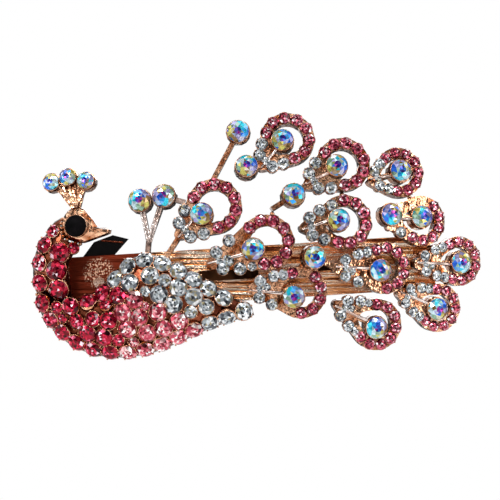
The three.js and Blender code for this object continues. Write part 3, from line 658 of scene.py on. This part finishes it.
def eye_stone():
    """A black flat-topped cabochon in a gold rim."""
    centre, normal, radius = large_stones("eye_stone")[0]
    points, faces = [(0.0, 0.0, EYE_TOP)], []
    count = EYE_SIDES
    for reach, height in EYE_PROFILE:
        points += ring_of(count, reach, height)
    last = 1 + (len(EYE_PROFILE) - 1) * count
    for i in range(count):
        after = (i + 1) % count
        faces.append([0, 1 + i, 1 + after])
        for high in range(1, last, count):
            low = high + count
            faces.append([high + i, low + i, low + after, high + after])
    faces.append([last + i for i in reversed(range(count))])
    gathered = Pieces()
    gathered.add(points, faces, placed(centre, normal, radius))
    piece = gathered.object("eye_cabochon", BLACK, smooth=True)
    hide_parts("eye_stone")
    set_cups("eye_rim", [(centre, normal, radius)], 0, 0.0)


# ---- CAD nodes that stay ------------------------------------------------------------------------
def finish_node(node, material, edge, segments=2, smooth_angle=40.0):
    """Rounds a CAD node's sharp edges and gives it its material."""
    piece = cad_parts[node]
    piece.data.materials.clear()
    piece.data.materials.append(material)
    rounding = piece.modifiers.new("rounding", "BEVEL")
    rounding.width = edge
    rounding.segments = segments
    rounding.limit_method = "ANGLE"
    rounding.angle_limit = math.radians(smooth_angle)
    rounding.harden_normals = True
    for face in piece.data.polygons:
        face.use_smooth = True
    shading = piece.modifiers.new("shading", "WEIGHTED_NORMAL")
    shading.keep_sharp = True


def castings():
    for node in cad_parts:
        if node == "plume_stems":
            finish_node(node, SILVERY_GOLD, STEM_EDGE, 3)
        # The neck and body castings show only in the gaps between stones, so they take the dark gold as
        # painted shade.
        elif node in ("neck_casting", "body_casting"):
            finish_node(node, SHADE_AND_SHEEN_GOLD, CAST_EDGE, smooth_angle=CAST_ANGLE)
        elif node.endswith("_frame"):
            finish_node(node, GOLD, FEATHER_EDGE)
        elif node.endswith("_casting"):
            finish_node(node, GOLD, CAST_EDGE, smooth_angle=CAST_ANGLE)


def tapered_rod(start, end, start_radius, end_radius):
    """A closed round rod between two points."""
    along = (end - start).normalized()
    count = ROD_SIDES
    turn = along.to_track_quat("Z", "Y").to_matrix()
    length = (end - start).length
    points, faces = [], []
    rings = [
        (0.0, ROD_TIP * start_radius), (start_radius, start_radius),
        (length - end_radius, end_radius), (length, ROD_TIP * end_radius),
    ]
    for height, radius in rings:
        points += [start + turn @ Vector(point) for point in ring_of(count, radius, height)]
    last = (len(rings) - 1) * count
    for row in range(0, last, count):
        for i in range(count):
            after = (i + 1) % count
            faces.append([row + i, row + after, row + count + after, row + count + i])
    faces.append(list(reversed(range(count))))
    faces.append([last + i for i in range(count)])
    return points, faces


def midribs():
    """The rib from each feather's root to its large stone, found as the highest metal on its frame."""
    gathered = Pieces()
    for feather in FEATHERS:
        centre, normal, _ = large_stones(f"{feather}_centre_stone")[0]
        corners = [corner.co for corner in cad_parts[f"{feather}_frame"].data.vertices]
        crest = [corner for corner in corners
                 if abs((corner - centre).dot(normal) + RIB_DROP) < RIB_SLACK]
        if len(crest) < 4:
            continue
        crest.sort(key=lambda corner: (corner - centre).length)
        near, far = (crest[0] + crest[1]) / 2, (crest[-1] + crest[-2]) / 2
        spare = (far - near).normalized() * RIB_SPARE
        gathered.add(*tapered_rod(far + spare, near - spare, *RIB_RADII), Matrix())
    gathered.object("midribs", SILVERY_GOLD, smooth=True)


def meeting_places(name, other):
    """(gap, place) for each corner of one casting and the nearest corner of another."""
    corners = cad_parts[other].data.vertices
    tree = KDTree(len(corners))
    for corner in corners:
        tree.insert(corner.co, corner.index)
    tree.balance()
    found = []
    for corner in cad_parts[name].data.vertices:
        nearest, _, gap = tree.find(corner.co)
        found.append((gap, (nearest + corner.co) / 2))
    return sorted(found, key=lambda place: (place[0], *place[1]))


def solder():
    """Beads of metal where one casting meets the next, close together along the bird's own seams."""
    names = [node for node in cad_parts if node.endswith(("_frame", "_casting", "_stems"))]
    gathered = Pieces()
    for i, name in enumerate(names):
        for other in names[i + 1:]:
            places = [place for gap, place in meeting_places(name, other) if gap < SOLDER_REACH]
            is_seam = name.endswith("_casting") and other.endswith("_casting")
            beads = []
            for place in places if is_seam else places[:1]:
                if all((place - bead).length > SEAM_PITCH for bead in beads):
                    beads.append(place)
            size = SEAM_BEAD if is_seam else SOLDER_BEAD
            for bead in beads:
                gathered.add(*BEAD, Matrix.Translation(bead) @ Matrix.Scale(size, 4))
    gathered.object("solder_beads", GOLD, smooth=True)


def front_of(node):
    """A function giving the front of a CAD node at an X and Z, or nothing where the node isn't."""
    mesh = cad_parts[node].data
    corners = [corner.co for corner in mesh.vertices]
    surface = BVHTree.FromPolygons(corners, [face.vertices[:] for face in mesh.polygons])

    def front(x, z):
        return surface.ray_cast(Vector((x, -1.0, z)), Vector((0.0, 1.0, 0.0)))[0]

    return front


def surface_rib(gathered, front, start, end, radius):
    """A round rib laid on a node's front from one X and Z place to another."""
    spots = []
    for i in range(RIB_STEPS + 1):
        spot = front(*Vector(start).lerp(Vector(end), i / RIB_STEPS))
        if spot:
            spots.append(spot)
    for here, there in zip(spots, spots[1:]):
        lap = (there - here).normalized() * radius
        gathered.add(*tapered_rod(here - lap, there + lap, radius, radius), Matrix())


def plume_ribs():
    """Two ribs side by side up each plume's stem, with a groove between them."""
    gathered = Pieces()
    front = front_of("plume_stems")
    join = Vector(PLUME_JOIN)
    for centre, _, radius in large_stones("plume_stones"):
        top = Vector((centre.x, centre.z))
        along = (top - join).normalized()
        side = Vector((along.y, -along.x)) * PLUME_RIB_OFFSET
        for rib in (side, -side):
            surface_rib(gathered, front, join + rib, top - along * radius + rib, PLUME_RIB)
    gathered.object("plume_ribs", SILVERY_GOLD, smooth=True)


def crown_ribs():
    """Ribs fanning out from the head to the crown's stones."""
    gathered = Pieces()
    front = front_of("head_casting")
    foot = Vector(CROWN_FOOT)
    stones = [Vector((centre.x, centre.z)) for centre, _, _ in large_stones("crown_stones")]
    first, last = CROWN_SPREAD
    low, high = CROWN_SPAN
    for i in range(CROWN_RIBS):
        top = stones[0].lerp(stones[-1], first + (last - first) * i / (CROWN_RIBS - 1))
        surface_rib(gathered, front, foot.lerp(top, low), foot.lerp(top, high), CROWN_RIB)
    gathered.object("crown_ribs", GOLD, smooth=True)


def barrette():
    finish_node("clip_bar", BAR_GOLD, BAR_EDGE)
    for node in ("clip_arm", "hinge_pin", "latch_base", "latch_rivet"):
        finish_node(node, STEEL, STEEL_EDGE)
    # The bow spring takes the near-black gold as painted shade.
    finish_node("bow_spring", SHADED_SPRING_METAL, STEEL_EDGE)
    for node in ("latch_upper_jaw", "latch_lower_jaw"):
        finish_node(node, DARK_STEEL, STEEL_EDGE)


# Painted highlight: a rib along the fold of the black finger wing, coloured dark red gold for the sheen
# seen along the fold.
def wing_fold():
    gathered = Pieces()
    surface_rib(gathered, front_of("latch_upper_jaw"), *WING_FOLD, WING_FOLD_RIB)
    gathered.object("wing_fold", SHADE_AND_SHEEN_GOLD, smooth=True, body="upper_jaw")


# ---- studio ---------------------------------------------------------------------------------------
def camera():
    data = bpy.data.cameras.new("camera")
    data.sensor_width = SENSOR
    data.lens = SENSOR * CAMERA_DISTANCE / VIEW_WIDTH
    data.clip_start, data.clip_end = 0.01, 20.0
    eye = bpy.data.objects.new("camera", data)
    eye.location = VIEW_CENTRE + Vector((0.0, -CAMERA_DISTANCE, 0.0))
    eye.rotation_euler = (math.radians(90), 0.0, 0.0)
    bpy.context.scene.collection.objects.link(eye)
    bpy.context.scene.camera = eye


def area_light(name, place, size, power):
    data = bpy.data.lights.new(name, "AREA")
    data.shape = "RECTANGLE"
    data.size, data.size_y = size
    data.energy = power
    lamp = bpy.data.objects.new(name, data)
    lamp.location = place
    lamp.rotation_euler = (VIEW_CENTRE - Vector(place)).to_track_quat("-Z", "Y").to_euler()
    bpy.context.scene.collection.objects.link(lamp)


# The studio's brightness by noise level, from dark drapes to bright lamps.
SKY_GREYS = [(0.43, 0.01), (0.48, 0.20), (0.55, 0.50), (0.59, 2.2)]
SKY = [(place, (grey, grey, grey)) for place, grey in SKY_GREYS]


def studio():
    """White to the camera; to the metal and the stones, dark with bright soft patches all round."""
    world = bpy.data.worlds.new("studio")
    bpy.context.scene.world = world
    world.use_nodes = True
    tree = world.node_tree
    background = tree.nodes["Background"]
    backdrop = add_node(tree, "ShaderNodeBackground", Strength=1.0)
    backdrop.inputs["Color"].default_value = (1.0, 1.0, 1.0, 1.0)
    direction = tree.nodes.new("ShaderNodeTexCoord")
    patches = add_node(tree, "ShaderNodeTexNoise", Scale=5.0, Detail=1.0)
    tree.links.new(direction.outputs["Generated"], patches.inputs["Vector"])
    sky = ramp(tree, patches.outputs["Fac"], SKY)
    tree.links.new(sky, background.inputs["Color"])
    rays = tree.nodes.new("ShaderNodeLightPath")
    mix = tree.nodes.new("ShaderNodeMixShader")
    tree.links.new(rays.outputs["Is Camera Ray"], mix.inputs["Fac"])
    tree.links.new(background.outputs["Background"], mix.inputs[1])
    tree.links.new(backdrop.outputs["Background"], mix.inputs[2])
    tree.links.new(mix.outputs["Shader"], tree.nodes["World Output"].inputs["Surface"])
    area_light("key", (-0.25, -0.45, 0.35), (0.10, 0.10), 0.9)
    area_light("fill", (0.40, -0.40, 0.10), (0.06, 0.30), 0.4)
    area_light("top", (0.05, -0.15, 0.50), (0.30, 0.06), 0.7)
    area_light("back", (0.0, 0.45, 0.20), (0.30, 0.30), 0.6)


def floor():
    """A pale floor under the object, below the photograph's view."""
    material, tree, shader = new_material("pale_floor")
    tint = ramp(tree, object_noise(tree, 6.0), [(0.3, (0.90, 0.90, 0.90)), (0.7, (0.94, 0.94, 0.94))])
    tree.links.new(tint, shader.inputs["Base Color"])
    shader.inputs["Roughness"].default_value = 0.7
    mesh = bpy.data.meshes.new("floor")
    height = CAD_BOX[0].z - FLOOR_DROP
    corners = [(FLOOR_HALF * x, FLOOR_HALF * y, height) for x, y in ((-1, -1), (1, -1), (1, 1), (-1, 1))]
    mesh.from_pydata(corners, [], [(0, 1, 2, 3)])
    mesh.materials.append(material)
    plane = bpy.data.objects.new("floor", mesh)
    bpy.context.scene.collection.objects.link(plane)


camera()
studio()
floor()
castings()
solder()
midribs()
plume_ribs()
crown_ribs()
barrette()
wing_fold()
bird_stones()
feather_stones()
other_large_stones()
eye_stone()
bpy.context.scene.view_settings.view_transform = "Standard"
